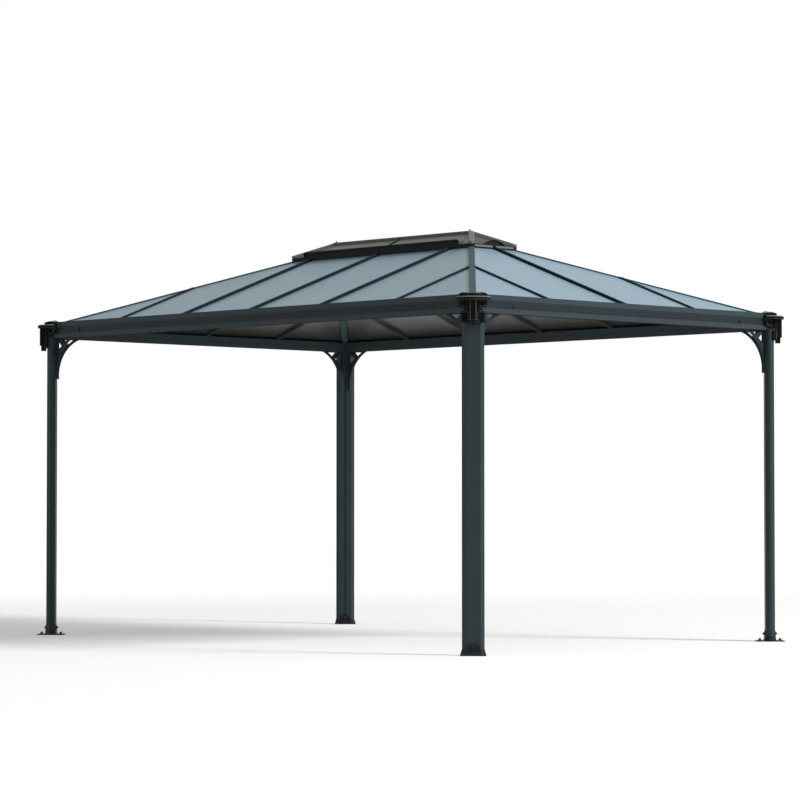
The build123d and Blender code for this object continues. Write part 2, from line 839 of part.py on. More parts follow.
# Named pieces
os.makedirs("parts", exist_ok=True)
for corner, (x_sign, y_sign) in CORNERS.items():
    end, side = corner.split("_")
    save(at_corner(post.part, x_sign, y_sign), f"post_{corner}")
    save(at_corner(foot.part, x_sign, y_sign), f"foot_{corner}")
    save(at_corner(casting.part, x_sign, y_sign), f"corner_{corner}")
    save(at_corner(hip.part, x_sign, y_sign), f"hip_{corner}")
    save(at_corner(long_brace, x_sign, y_sign), f"{end}_brace_{side}")
    save(at_corner(short_brace, x_sign, y_sign), f"{side}_brace_{end}")
for name, x_sign, y_sign, beam, rafters, panels, upper in (
    ("back", 1, 1, back_beam, back_rafters, back_panels, back_upper_panel),
    ("front", 1, -1, back_beam, back_rafters, back_panels, back_upper_panel),
    ("right", 1, 1, right_beam, right_rafters, right_panels, right_upper_panel),
    ("left", -1, 1, right_beam, right_rafters, right_panels, right_upper_panel),
):
    save(at_corner(beam, x_sign, y_sign), f"beam_{name}")
    save(at_corner(rafters, x_sign, y_sign), f"rafters_{name}")
    save(at_corner(panels, x_sign, y_sign), f"panels_{name}")
    save(at_corner(upper, x_sign, y_sign), f"upper_panel_{name}")
save(vent_ring.part, "vent_ring")
save(upper_frame.part, "upper_frame")
save(upper_hip_caps.part, "upper_hip_caps")
save(ridge_cap.part, "ridge_cap")
save(joint_strips.part, "upper_joint_strips")
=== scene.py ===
import logging
import math
from dataclasses import dataclass
from enum import Enum
from typing import Any, Iterable, Sequence

import bmesh
import bpy
import numpy as np
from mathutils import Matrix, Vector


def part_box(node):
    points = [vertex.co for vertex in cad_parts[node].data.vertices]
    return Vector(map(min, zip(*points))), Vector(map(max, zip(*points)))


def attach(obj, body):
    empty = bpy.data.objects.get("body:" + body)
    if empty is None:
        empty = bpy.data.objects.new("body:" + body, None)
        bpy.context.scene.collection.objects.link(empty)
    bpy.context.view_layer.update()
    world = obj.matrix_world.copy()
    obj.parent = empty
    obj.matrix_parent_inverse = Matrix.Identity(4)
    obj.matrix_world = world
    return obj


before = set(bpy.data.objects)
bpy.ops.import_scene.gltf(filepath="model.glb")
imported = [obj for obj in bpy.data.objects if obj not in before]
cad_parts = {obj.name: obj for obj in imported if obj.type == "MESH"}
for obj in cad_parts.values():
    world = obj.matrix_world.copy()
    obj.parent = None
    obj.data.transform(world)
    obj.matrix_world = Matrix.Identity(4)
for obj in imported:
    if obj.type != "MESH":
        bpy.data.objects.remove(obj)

Tree = bpy.types.NodeTree
Node = bpy.types.Node
Socket = bpy.types.NodeSocket
Inputs = dict[Any, Any]  # values, nodes or sockets by input name or number

log = logging.getLogger("gazebo")

MM = 0.001
UP = np.array([0.0, 0.0, 1.0])
BOTH_WAYS = (1, -1)
ROOF_PITCH_DEG = 20.3
MERGE_MM = 0.01  # points nearer than this are one
SMOOTH_DEG = 35.0  # faces that meet at less than this angle are shaded as one
CORNERS: dict[str, tuple[int, int]] = {
    "front_left": (-1, -1),
    "front_right": (1, -1),
    "back_left": (-1, 1),
    "back_right": (1, 1),
}


class Side(Enum):
    """The four sides of the roof and beams, by their outward direction in plan."""

    FRONT = (0, -1)
    BACK = (0, 1)
    LEFT = (-1, 0)
    RIGHT = (1, 0)

    @property
    def label(self) -> str:
        """The side's name in node names."""
        return self.name.lower()

    @property
    def outward(self) -> np.ndarray:
        """Unit vector out of this side."""
        return np.array([*self.value, 0.0], float)

    @property
    def along(self) -> np.ndarray:
        """Unit vector along this side's eave, to the right when seen from outside."""
        return np.array([-self.value[1], self.value[0], 0.0], float)

    @property
    def is_long(self) -> bool:
        """True for the front and the back."""
        return self.value[0] == 0


class Pattern(Enum):
    """Axis across which a sheet's flutes repeat."""

    ACROSS_X = "X"
    ACROSS_Y = "Y"


# Surfaces as whole arrays


@dataclass
class Surface:
    """Points and faces of a mesh before it is put into Blender."""

    points: np.ndarray
    faces: list[list[int]]

    def copies(self, frames: Sequence[np.ndarray]) -> "Surface":
        """Repeat this surface once in each frame.

        Args:
            frames: 4 by 4 matrices from the surface's own space to the row frame.
        Returns:
            One surface with all the copies.
        """
        stack = np.stack(frames)
        moved = np.einsum("kij,nj->kni", stack[:, :3, :3], self.points) + stack[:, None, :3, 3]
        return join([Surface(points, self.faces) for points in moved])


def join(surfaces: Iterable[Surface]) -> Surface:
    """Put several surfaces into one.

    Args:
        surfaces: the surfaces, in any order.
    Returns:
        One surface with all their points and faces.
    """
    parts = list(surfaces)
    starts = np.cumsum([0] + [len(p.points) for p in parts[:-1]])
    faces = [[i + int(s) for i in face] for p, s in zip(parts, starts) for face in p.faces]
    return Surface(np.concatenate([p.points for p in parts]), faces)


def grid_faces(rows: int, columns: int) -> list[list[int]]:
    """Quads of a grid of points, row by row, in which each row is a loop.

    Args:
        rows: number of rows of points.
        columns: number of points in a row.
    Returns:
        Lists of four point numbers.
    """
    r, c = np.meshgrid(np.arange(rows - 1) * columns, np.arange(columns), indexing="ij")
    n = (c + 1) % columns
    quads = np.stack([r + c, r + n, r + columns + n, r + columns + c], -1)
    return quads.reshape(-1, 4).tolist()


def revolve(profile: Sequence[tuple[float, float]], sides: int) -> Surface:
    """Turn a profile about Z: a point is (r cos a, r sin a, h) for each (r, h) and angle a.

    Args:
        profile: radius and height pairs in millimetres, from the bottom up.
        sides: number of steps round the axis.
    Returns:
        A closed surface in metres.
    """
    pairs = np.asarray(profile, float) * MM
    angle = np.arange(sides) * 2 * np.pi / sides
    radius = pairs[:, :1]
    height = np.repeat(pairs[:, 1:], sides, axis=1)
    points = np.stack([radius * np.cos(angle), radius * np.sin(angle), height], -1)
    return Surface(points.reshape(-1, 3), grid_faces(len(pairs), sides))


def carry(profile: np.ndarray, path: np.ndarray, across: np.ndarray, up: np.ndarray) -> Surface:
    """Carry a closed profile along a path: point = path(i) + u * across + v * up.

    Args:
        profile: closed outline as (u, v) pairs in metres, turning left.
        path: points of the path in metres.
        across: direction of u.
        up: direction of v.
    Returns:
        A closed tube with a face over each end.
    """
    section = profile[:, :1] * across + profile[:, 1:] * up
    points = path[:, None, :] + section
    count = len(profile)
    last = (len(path) - 1) * count
    ends = [list(range(count - 1, -1, -1)), list(range(last, last + count))]
    return Surface(points.reshape(-1, 3), grid_faces(len(path), count) + ends)


def arc(centre: Sequence[float], radius: float, start: float, stop: float, steps: int) -> np.ndarray:
    """Points of an arc: centre + radius * (cos a, sin a) at even steps of the angle a.

    Args:
        centre: its middle as (u, v).
        radius: its radius.
        start: first angle in radians.
        stop: last angle in radians.
        steps: number of points.
    Returns:
        (u, v) pairs in the unit of the centre.
    """
    angle = np.linspace(start, stop, steps)
    return np.asarray(centre) + radius * np.stack([np.cos(angle), np.sin(angle)], -1)


def rounded_rectangle(width: float, height: float, radius: float, steps: int = 5) -> np.ndarray:
    """Outline of a rectangle with quarter-circle corners, about its middle.

    Args:
        width: size along u in millimetres.
        height: size along v in millimetres.
        radius: corner radius in millimetres.
        steps: points in each corner.
    Returns:
        Outline as (u, v) pairs in metres, turning left.
    """
    quarter = np.pi / 2
    u, v = width / 2 - radius, height / 2 - radius
    centres = ((u, v), (-u, v), (-u, -v), (u, -v))
    arcs = [arc(c, radius, n * quarter, (n + 1) * quarter, steps) for n, c in enumerate(centres)]
    return np.concatenate(arcs) * MM


def frame_at(origin: np.ndarray, x_axis: np.ndarray, z_axis: np.ndarray) -> np.ndarray:
    """Matrix of a space with these X and Z directions at a point.

    Args:
        origin: the point in metres.
        x_axis: X direction, a unit vector square to z_axis.
        z_axis: Z direction, a unit vector.
    Returns:
        4 by 4 matrix.
    """
    matrix = np.eye(4)
    matrix[:3] = np.stack([x_axis, np.cross(z_axis, x_axis), z_axis, origin], -1)
    return matrix


def put(name: str, data: bpy.types.ID) -> bpy.types.Object:
    """Add an object with this data to the scene.

    Args:
        name: name of the object.
        data: its mesh, light or camera.
    Returns:
        The object.
    """
    thing = bpy.data.objects.new(name, data)
    bpy.context.scene.collection.objects.link(thing)
    return thing


def build(name: str, surface: Surface, finish: "Finish") -> None:
    """Put a surface into Blender as a piece that rides on the gazebo.

    Args:
        name: name of the piece.
        surface: its points and faces in the row frame.
        finish: its finish.
    """
    mesh = bpy.data.meshes.new(name)
    mesh.from_pydata(surface.points, [], surface.faces)
    work = bmesh.new()
    work.from_mesh(mesh)
    bmesh.ops.remove_doubles(work, verts=work.verts, dist=MERGE_MM * MM)
    bmesh.ops.recalc_face_normals(work, faces=work.faces)
    work.to_mesh(mesh)
    work.free()
    mesh.shade_smooth()
    mesh.set_sharp_from_angle(angle=math.radians(SMOOTH_DEG))
    mesh.materials.append(finish.material())
    piece = put(name, mesh)
    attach(piece, "root")
    log.info("%s: %d faces", name, len(mesh.polygons))


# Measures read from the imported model


@dataclass(frozen=True)
class Measures:
    """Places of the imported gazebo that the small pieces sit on, in metres."""

    half_x: float
    half_y: float
    eave: float
    beam_top: float
    ring_x: float
    ring_y: float
    ring_top: float
    sheet_level: float
    slope: float
    posts: dict[str, np.ndarray]

    @classmethod
    def read(cls) -> "Measures":
        """Read the places from the node boxes.

        Returns:
            The measures.
        """
        beam_low, beam_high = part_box("beam_back")
        sheet_low, sheet_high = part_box("panels_back")
        ring_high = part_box("vent_ring")[1]
        slope = math.tan(math.radians(ROOF_PITCH_DEG))
        return cls(
            half_x=beam_high[0],
            half_y=beam_high[1],
            eave=beam_low[2],
            beam_top=beam_high[2],
            ring_x=ring_high[0],
            ring_y=ring_high[1],
            ring_top=ring_high[2],
            sheet_level=sheet_low[2] - slope * (beam_high[1] - sheet_high[1]),
            slope=slope,
            posts={corner: np.mean(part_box(f"post_{corner}"), axis=0) for corner in CORNERS},
        )

    def reach(self, side: Side) -> float:
        """Distance from the middle to the outer face of the beam on this side."""
        return self.half_y if side.is_long else self.half_x

    def half_run(self, side: Side) -> float:
        """Half the length of the beam on this side."""
        return self.half_x if side.is_long else self.half_y

    def slope_normal(self, side: Side) -> np.ndarray:
        """Unit vector out of the top of a main slope."""
        angle = math.atan(self.slope)
        return side.outward * math.sin(angle) + UP * math.cos(angle)

    def up_slope(self, side: Side) -> np.ndarray:
        """Unit vector up a main slope."""
        return np.cross(self.slope_normal(side), side.along)

    def on_slope(self, side: Side, place: float, inset: float, rise: float) -> np.ndarray:
        """Point of a main slope.

        Args:
            side: the slope.
            place: metres along the eave from its middle.
            inset: metres in from the outer beam face, in plan.
            rise: metres above the sheet's underside, square to the slope.
        Returns:
            The point.
        """
        base = side.outward * (self.reach(side) - inset) + side.along * place
        base[2] = self.sheet_level + self.slope * inset
        return base + rise * self.slope_normal(side)


MEASURES = Measures.read()


# Finishes

SHADE_LOW_MM = 25.0  # up to this height over the beams the roof's inside gets full painted shade
SHADE_HIGH_MM = 115.0  # from this height over the beams the painted shade is gone
MIX_A, MIX_B = 6, 7  # colour inputs of a Mix node
# Limits of a normal's Z between none and all of what such a face gets
LOOKS_UP = {"From Min": 0.3, "From Max": 1.0}
LOOKS_DOWN = {"From Min": -0.3, "From Max": -0.7}
UNDERSIDE = {"From Min": 0.1, "From Max": -0.3}
# Limits of the dot product of a beam's level normal and its place, in metres: inner faces are below nought
INNER_SIDE = {"From Min": -0.2, "From Max": -0.6}
# Limits of a cloud's noise, and how much of the accent its peaks get
ACCENT_DRIFT = {"From Min": 0.3, "From Max": 0.75, "To Max": 0.5}


def linear(hex_colour: str) -> tuple[float, float, float, float]:
    """Turn an sRGB hex colour into linear red, green, blue and alpha.

    Args:
        hex_colour: six hex digits after a hash.
    Returns:
        Linear values with alpha 1.
    """
    srgb = np.array([int(hex_colour[i : i + 2], 16) for i in (1, 3, 5)]) / 255
    rgb = np.where(srgb <= 0.04045, srgb / 12.92, ((srgb + 0.055) / 1.055) ** 2.4)
    return (*rgb.tolist(), 1.0)


def link(tree: Tree, node: Node, links: Inputs) -> None:
    """Link a node's inputs; a node given as a source stands for its first live output.

    Args:
        tree: node tree of the node.
        node: the node that gets the links.
        links: what feeds each input.
    """
    for key, source in links.items():
        if isinstance(source, Node):
            source = next(socket for socket in source.outputs if socket.enabled)
        tree.links.new(source, node.inputs[key])


def add_node(tree: Tree, kind: str, settings: Inputs | None = None, links: Inputs | None = None) -> Node:
    """Add a node with its settings and links.

    Args:
        tree: node tree that gets the node.
        kind: type name of the node, without the ShaderNode that all start with.
        settings: values by attribute name, or by input name or number.
        links: what feeds each input.
    Returns:
        The new node.
    """
    node = tree.nodes.new(f"ShaderNode{kind}")
    for key, value in (settings or {}).items():
        if isinstance(key, str) and hasattr(node, key):
            setattr(node, key, value)
        else:
            node.inputs[key].default_value = value
    link(tree, node, links or {})
    return node


def per_mm(size: float) -> float:
    """Noise scale whose features are about this many millimetres across."""
    return 1.0 / (size * MM)


def bands_per_mm(size: float) -> float:
    """Wave scale whose bands repeat after this many millimetres, which is 2 pi / (20 scale)."""
    return 2 * math.pi / (20 * size * MM)


def roof_inside_shading(tree: Tree, place: Socket, eaves_shade: str, under: str) -> Node:
    """Colour inside the roof by height: painted shade just over the beams, lighter from a hand's width up.

    Args:
        tree: node tree that gets the nodes.
        place: object coordinates.
        eaves_shade: hex colour of the painted shade just over the beams.
        under: hex colour above them.
    Returns:
        The node that gives the colour.
    """
    height = add_node(tree, "SeparateXYZ", links={"Vector": place}).outputs["Z"]
    limits = {
        "From Min": MEASURES.beam_top + SHADE_LOW_MM * MM,
        "From Max": MEASURES.beam_top + SHADE_HIGH_MM * MM,
        "interpolation_type": "SMOOTHSTEP",
    }
    # how far out of the painted shade, by height over the beams
    clear = add_node(tree, "MapRange", limits, {"Value": height})
    tones = {"data_type": "RGBA", MIX_A: linear(eaves_shade), MIX_B: linear(under)}
    return add_node(tree, "Mix", tones, {0: clear})


@dataclass(frozen=True)
class Finish:
    """A surface finish; each kind says how its node tree is made.

    The cloud is the noise that colour and roughness follow, and the relief is the bump.
    """

    name: str
    colour: str
    accent: str
    roughness: float
    gloss: float = 0.25
    smoother: float = 0.08
    rougher: float = 0.1
    cloud_mm: float = 60.0
    cloud_detail: float = 5.0
    relief: float = 0.1
    relief_mm: float = 0.2

    @property
    def tones(self) -> Inputs:
        """Settings that mix the colour with the accent."""
        return {"data_type": "RGBA", MIX_A: linear(self.colour), MIX_B: linear(self.accent)}

    @property
    def sheen(self) -> Inputs:
        """Settings that spread the roughness about its own value."""
        return {"To Min": self.roughness - self.smoother, "To Max": self.roughness + self.rougher}

    @property
    def cloud(self) -> Inputs:
        """Settings of the cloud's noise."""
        return {"Scale": per_mm(self.cloud_mm), "Detail": self.cloud_detail}

    @property
    def bumps(self) -> Inputs:
        """Settings of the relief's bump."""
        return {"Strength": self.relief, "Distance": self.relief_mm * MM}

    def material(self) -> bpy.types.Material:
        """Make this finish's material once, and share it from then on.

        Returns:
            The material.
        """
        found = bpy.data.materials.get(self.name)
        if found:
            return found
        material = bpy.data.materials.new(self.name)
        material.use_nodes = True
        material.diffuse_color = linear(self.colour)
        tree = material.node_tree
        tree.nodes.clear()
        settings = {"Roughness": self.roughness, "Specular IOR Level": self.gloss}
        shader = add_node(tree, "BsdfPrincipled", settings)
        add_node(tree, "OutputMaterial", links={"Surface": shader})
        self.dress(tree, shader)
        return material

    def dress(self, tree: Tree, shader: Node) -> None:
        """Add this finish's own nodes to its tree and link them to its shader."""
        raise NotImplementedError


@dataclass(frozen=True)
class PowderCoat(Finish):
    """Polyester powder coat baked on aluminium: satin, with a fine orange-peel and faint handling marks."""

    smoother: float = 0.07
    rougher: float = 0.09
    cloud_mm: float = 260.0
    relief: float = 0.12
    peel_mm: float = 3.0  # real peel is about 1 mm, drawn coarser so that it shows
    dust: float = 0.12
    dust_colour: str = "#9b9a94"
    dulled: float = 0.6  # roughness that faces looking down gain

    def over(self, tree: Tree, colour: Node, place: Socket, facing: Node) -> Node:
        """Change the coat where the profile needs it; a plain coat stays as it is."""
        return colour

    def dress(self, tree: Tree, shader: Node) -> None:
        """Colour drifts slowly and gathers a little dust on faces that look up; the peel is a bump.

        Args:
            tree: the material's tree.
            shader: its shader.
        """
        place = add_node(tree, "TexCoord").outputs["Object"]
        normal = add_node(tree, "NewGeometry").outputs["Normal"]
        facing = add_node(tree, "SeparateXYZ", links={"Vector": normal})
        tilt = facing.outputs["Z"]
        cloud = add_node(tree, "TexNoise", self.cloud, {"Vector": place})
        drift = add_node(tree, "MapRange", ACCENT_DRIFT, {"Value": cloud})
        tone = add_node(tree, "Mix", self.tones, {0: drift})
        upward = add_node(tree, "MapRange", {**LOOKS_UP, "To Max": self.dust}, {"Value": tilt})
        dusty = add_node(
            tree, "Mix", {"data_type": "RGBA", MIX_B: linear(self.dust_colour)}, {0: upward, MIX_A: tone}
        )
        peel = add_node(tree, "TexNoise", {"Scale": per_mm(self.peel_mm)}, {"Vector": place})
        bump = add_node(tree, "Bump", self.bumps, {"Height": peel})
        sheen = add_node(tree, "MapRange", self.sheen, {"Value": cloud})
        matt = add_node(tree, "MapRange", {**LOOKS_DOWN, "To Max": self.dulled}, {"Value": tilt})
        dull = add_node(tree, "Math", {"operation": "ADD", "use_clamp": True}, {0: sheen, 1: matt})
        coat = self.over(tree, dusty, place, facing)
        link(tree, shader, {"Base Color": coat, "Roughness": dull, "Normal": bump})


@dataclass(frozen=True)
class BeamCoat(PowderCoat):
    """Powder coat on the banded beams, with painted shade in the sunk band and on the faces that look down.
    """

    # sunk and below are painted shade: the recessed band and the faces that look down are darkened
    sunk_shade: str = "#222b30"
    inner: str = "#3f4b50"
    below: str = "#0b0e0f"
    sunk_low_mm: float = 28.0
    sunk_high_mm: float = 81.0
    fade_mm: float = 9.0

    def over(self, tree: Tree, colour: Node, place: Socket, facing: Node) -> Node:
        """Paint shade into the sunk band by its height on the beam, and onto the faces that look down; fade
        the inner side.

        A face is an inner one where its normal and its place in plan point against each other.

        Args:
            tree: the material's tree.
            colour: node that gives the plain coat.
            place: object coordinates.
            facing: the normal, split into X, Y and Z.
        Returns:
            The node that gives the coat's colour.
        """
        half = (self.sunk_high_mm - self.sunk_low_mm) / 2 * MM
        middle = MEASURES.eave + self.sunk_low_mm * MM + half
        height = add_node(tree, "SeparateXYZ", links={"Vector": place}).outputs["Z"]
        off = add_node(tree, "Math", {"operation": "SUBTRACT", 1: middle}, {0: height})
        away = add_node(tree, "Math", {"operation": "ABSOLUTE"}, {0: off})
        limits = {"From Min": half, "From Max": half - self.fade_mm * MM}
        in_shaded_band = add_node(tree, "MapRange", limits, {"Value": away})
        level = add_node(tree, "CombineXYZ", links={axis: facing.outputs[axis] for axis in "XY"})
        outward = add_node(tree, "VectorMath", {"operation": "DOT_PRODUCT"}, {0: level, 1: place})
        inward = add_node(tree, "MapRange", INNER_SIDE, {"Value": outward})
        looks_down_shade = add_node(tree, "MapRange", LOOKS_DOWN, {"Value": facing.outputs["Z"]})
        # painted shade in the sunk band and on faces that look down; the inner side gets its own colour
        for share, cover in ((in_shaded_band, self.sunk_shade), (inward, self.inner), (looks_down_shade, self.below)):
            settings = {"data_type": "RGBA", MIX_B: linear(cover)}
            colour = add_node(tree, "Mix", settings, {0: share, MIX_A: colour})
        return colour


@dataclass(frozen=True)
class RoofBarCoat(PowderCoat):
    """Powder coat on the roof bars: one colour on the caps outside, another below the sheets, with painted
    shade just over the beams.
    """

    under: str = "#5a5a58"
    eaves_shade: str = "#383837"
    fade_mm: float = 4.0

    def over(self, tree: Tree, colour: Node, place: Socket, facing: Node) -> Node:
        """Height over the slope is z - (level + slope * inset), the inset being the nearer eave's.

        Args:
            tree: the material's tree.
            colour: node that gives the plain coat.
            place: object coordinates.
            facing: the normal, split into X, Y and Z; not used here.
        Returns:
            The node that gives the coat's colour.
        """
        spot = add_node(tree, "SeparateXYZ", links={"Vector": place})
        insets = {}
        for number, reach in enumerate((MEASURES.half_x, MEASURES.half_y)):
            off = add_node(tree, "Math", {"operation": "ABSOLUTE"}, {0: spot.outputs[number]})
            insets[number] = add_node(tree, "Math", {"operation": "SUBTRACT", 0: reach}, {1: off})
        inset = add_node(tree, "Math", {"operation": "MINIMUM"}, insets)
        plane = {"operation": "MULTIPLY_ADD", 1: MEASURES.slope, 2: MEASURES.sheet_level}
        level = add_node(tree, "Math", plane, {0: inset})
        above = add_node(tree, "Math", {"operation": "SUBTRACT"}, {0: spot.outputs["Z"], 1: level})
        limits = {"From Min": self.fade_mm * MM, "From Max": 0.0}
        below = add_node(tree, "MapRange", limits, {"Value": above})
        # below the sheets: a pale colour with painted shade just over the beams
        inside = roof_inside_shading(tree, place, self.eaves_shade, self.under)
        return add_node(tree, "Mix", {"data_type": "RGBA"}, {0: below, MIX_A: colour, MIX_B: inside})


@dataclass(frozen=True)
class Moulding(Finish):
    """Glass-filled nylon, moulded with a spark-eroded matt grain, with painted highlights along its edges
    and chamfers.
    """

    cloud_detail: float = 6.0
    relief: float = 0.25
    edge_highlight: str = "#93928a"
    edge_mm: float = 3.5  # painted edge highlight, drawn wider than about 1 mm so that it shows
    edge_samples: int = 6
    highlight_starts: float = 0.93  # cosine of the angle between the flat and the rounded normal
    highlight_full: float = 0.72
    slant: float = 0.68  # Z of the normals of chamfers, which look half up and get a painted highlight
    slant_spread: float = 0.25
    slant_highlight: float = 0.55
    grain_mm: float = 2.5  # real grain is about 0.4 mm, drawn coarser so that it shows

    def dress(self, tree: Tree, shader: Node) -> None:
        """A cloudy colour with painted highlights on chamfers and where a rounded normal leaves the flat
        one; a pebbled bump.

        Args:
            tree: the material's tree.
            shader: its shader.
        """
        place = add_node(tree, "TexCoord").outputs["Object"]
        cloud = add_node(tree, "TexNoise", self.cloud, {"Vector": place})
        tone = add_node(tree, "Mix", self.tones, {0: cloud})
        rounded = add_node(tree, "Bevel", {"samples": self.edge_samples, "Radius": self.edge_mm * MM})
        flat = add_node(tree, "NewGeometry").outputs["Normal"]
        agree = add_node(tree, "VectorMath", {"operation": "DOT_PRODUCT"}, {0: rounded, 1: flat})
        limits = {"From Min": self.highlight_starts, "From Max": self.highlight_full}
        edge = add_node(tree, "MapRange", limits, {"Value": agree})
        tilt = add_node(tree, "SeparateXYZ", links={"Vector": flat}).outputs["Z"]
        near = {"operation": "COMPARE", 1: self.slant, 2: self.slant_spread}
        chamfer = add_node(tree, "Math", near, {0: tilt})
        added = {"operation": "MULTIPLY_ADD", 1: self.slant_highlight, "use_clamp": True}
        highlight_share = add_node(tree, "Math", added, {0: chamfer, 2: edge})
        # painted highlight on edges and on chamfers that look half up
        highlighted = add_node(
            tree, "Mix", {"data_type": "RGBA", MIX_B: linear(self.edge_highlight)}, {0: highlight_share, MIX_A: tone}
        )
        grain = add_node(tree, "TexVoronoi", {"Scale": per_mm(self.grain_mm)}, {"Vector": place})
        bump = add_node(tree, "Bump", self.bumps, {"Height": grain})
        sheen = add_node(tree, "MapRange", self.sheen, {"Value": grain})
        link(tree, shader, {"Base Color": highlighted, "Roughness": sheen, "Normal": bump})


@dataclass(frozen=True)
class TwinWall(Finish):
    """Extruded twin-wall polycarbonate: glossy skin, inner walls that show through as faint flutes."""

    cloud_mm: float = 700.0
    cloud_detail: float = 3.0
    relief: float = 0.08
    relief_mm: float = 0.4
    under: str = "#4b4a48"
    eaves_shade: str = "#3d3d3c"
    ior: float = 1.58
    flute_mm: float = 24.0  # real walls stand about 7 mm apart, drawn coarser so that they show
    flute_share: float = 0.25
    cloud_share: float = 0.8
    pattern: Pattern = Pattern.ACROSS_X

    def dress(self, tree: Tree, shader: Node) -> None:
        """Bands across the flutes tint and ripple the skin; the underside is duller, with painted shade just
        over the beams.

        Args:
            tree: the material's tree.
            shader: its shader.
        """
        place = add_node(tree, "TexCoord").outputs["Object"]
        wave = {"bands_direction": self.pattern.value, "Scale": bands_per_mm(self.flute_mm)}
        flutes = add_node(tree, "TexWave", wave, {"Vector": place}).outputs["Fac"]
        cloud = add_node(tree, "TexNoise", self.cloud, {"Vector": place})
        bands = add_node(tree, "Math", {"operation": "MULTIPLY", 1: self.flute_share}, {0: flutes})
        share = add_node(
            tree, "Math", {"operation": "MULTIPLY_ADD", 1: self.cloud_share}, {0: cloud, 2: bands}
        )
        top = add_node(tree, "Mix", self.tones, {0: share})
        normal = add_node(tree, "NewGeometry").outputs["Normal"]
        tilt = add_node(tree, "SeparateXYZ", links={"Vector": normal}).outputs["Z"]
        below = add_node(tree, "MapRange", UNDERSIDE, {"Value": tilt})
        # underside colour with painted shade just over the beams
        ceiling = roof_inside_shading(tree, place, self.eaves_shade, self.under)
        tone = add_node(tree, "Mix", {"data_type": "RGBA"}, {0: below, MIX_A: top, MIX_B: ceiling})
        bump = add_node(tree, "Bump", self.bumps, {"Height": flutes})
        sheen = add_node(tree, "MapRange", self.sheen, {"Value": cloud})
        shader.inputs["IOR"].default_value = self.ior
        link(tree, shader, {"Base Color": tone, "Roughness": sheen, "Normal": bump})


@dataclass(frozen=True)
class Steel(Finish):
    """Steel fastener with a black oxide skin: a metal, cloudy and a little worn."""

    smoother: float = 0.1
    rougher: float = 0.15
    cloud_mm: float = 5.0
    cloud_detail: float = 4.0

    def dress(self, tree: Tree, shader: Node) -> None:
        """Cloudy colour and roughness.

        Args:
            tree: the material's tree.
            shader: its shader.
        """
        place = add_node(tree, "TexCoord").outputs["Object"]
        cloud = add_node(tree, "TexNoise", self.cloud, {"Vector": place})
        tone = add_node(tree, "Mix", self.tones, {0: cloud})
        sheen = add_node(tree, "MapRange", self.sheen, {"Value": cloud})
        shader.inputs["Metallic"].default_value = 1.0
        link(tree, shader, {"Base Color": tone, "Roughness": sheen})


@dataclass(frozen=True)
class Rubber(Finish):
    """Extruded rubber seal: matt black with a dry, dusty bloom."""

    cloud_mm: float = 18.0

    def dress(self, tree: Tree, shader: Node) -> None:
        """Bloom is a fine cloud of the accent colour.

        Args:
            tree: the material's tree.
            shader: its shader.
        """
        place = add_node(tree, "TexCoord").outputs["Object"]
        bloom = add_node(tree, "TexNoise", self.cloud, {"Vector": place})
        tone = add_node(tree, "Mix", self.tones, {0: bloom})
        bump = add_node(tree, "Bump", self.bumps, {"Height": bloom})
        link(tree, shader, {"Base Color": tone, "Normal": bump})


@dataclass(frozen=True)
class WireMesh(Finish):
    """Fine woven wire mesh, coated dark: crossing wires stand lighter out of the gaps; drawn opaque, its
    dark is partly painted shade for the inside of the vent.
    """

    relief: float = 0.3
    relief_mm: float = 0.4
    pitch_mm: float = 6.0  # real wires stand about 1.5 mm apart, drawn coarser so that they show

    def dress(self, tree: Tree, shader: Node) -> None:
        """Two sets of bands, one level and one along the plan diagonal, so that every side shows both.

        Args:
            tree: the material's tree.
            shader: its shader.
        """
        place = add_node(tree, "TexCoord").outputs["Object"]
        sets = {}
        for number, direction in enumerate(("Z", "DIAGONAL")):
            wave = {"bands_direction": direction, "Scale": bands_per_mm(self.pitch_mm)}
            sets[number] = add_node(tree, "TexWave", wave, {"Vector": place}).outputs["Fac"]
        wires = add_node(tree, "Math", {"operation": "MAXIMUM"}, sets)
        tone = add_node(tree, "Mix", self.tones, {0: wires})
        bump = add_node(tree, "Bump", self.bumps, {"Height": wires})
        link(tree, shader, {"Base Color": tone, "Normal": bump})


ANTHRACITE = PowderCoat("anthracite_powder_coat", "#2e3a3e", "#354145", 0.45, 0.12)
BEAM_COAT = BeamCoat("beam_powder_coat_painted_shade", "#333f44", "#3a464b", 0.45, 0.12)
FOOT_COAT = PowderCoat("dark_steel_powder_coat", "#14181a", "#1b1f21", 0.5, 0.18, cloud_mm=90.0)
# below the sheets the rafters are painted pale grey, painted light that lifts their shaded sides
RAFTER_COAT = RoofBarCoat(
    "rafter_powder_coat", "#16242e", "#1e2e38", 0.55, 0.04, dust=0.02, under="#6a6966", eaves_shade="#454443"
)
HIP_COAT = RoofBarCoat(
    "hip_powder_coat", "#43525a", "#4b5a62", 0.6, 0.03, dust=0.03, under="#566264", eaves_shade="#495457"
)
RING_COAT = PowderCoat("vent_ring_powder_coat", "#0f1214", "#171a1c", 0.55, 0.1, dust=0.02)
UPPER_COAT = PowderCoat("upper_trim_powder_coat", "#737572", "#7d7f7b", 0.55, 0.03, dust=0.03)
NYLON = Moulding("black_glass_filled_nylon", "#121514", "#1b1e1d", 0.62, 0.03)
BRACE_NYLON = Moulding("dark_brace_nylon", "#252d31", "#2c3438", 0.52, 0.12, edge_highlight="#353e42")
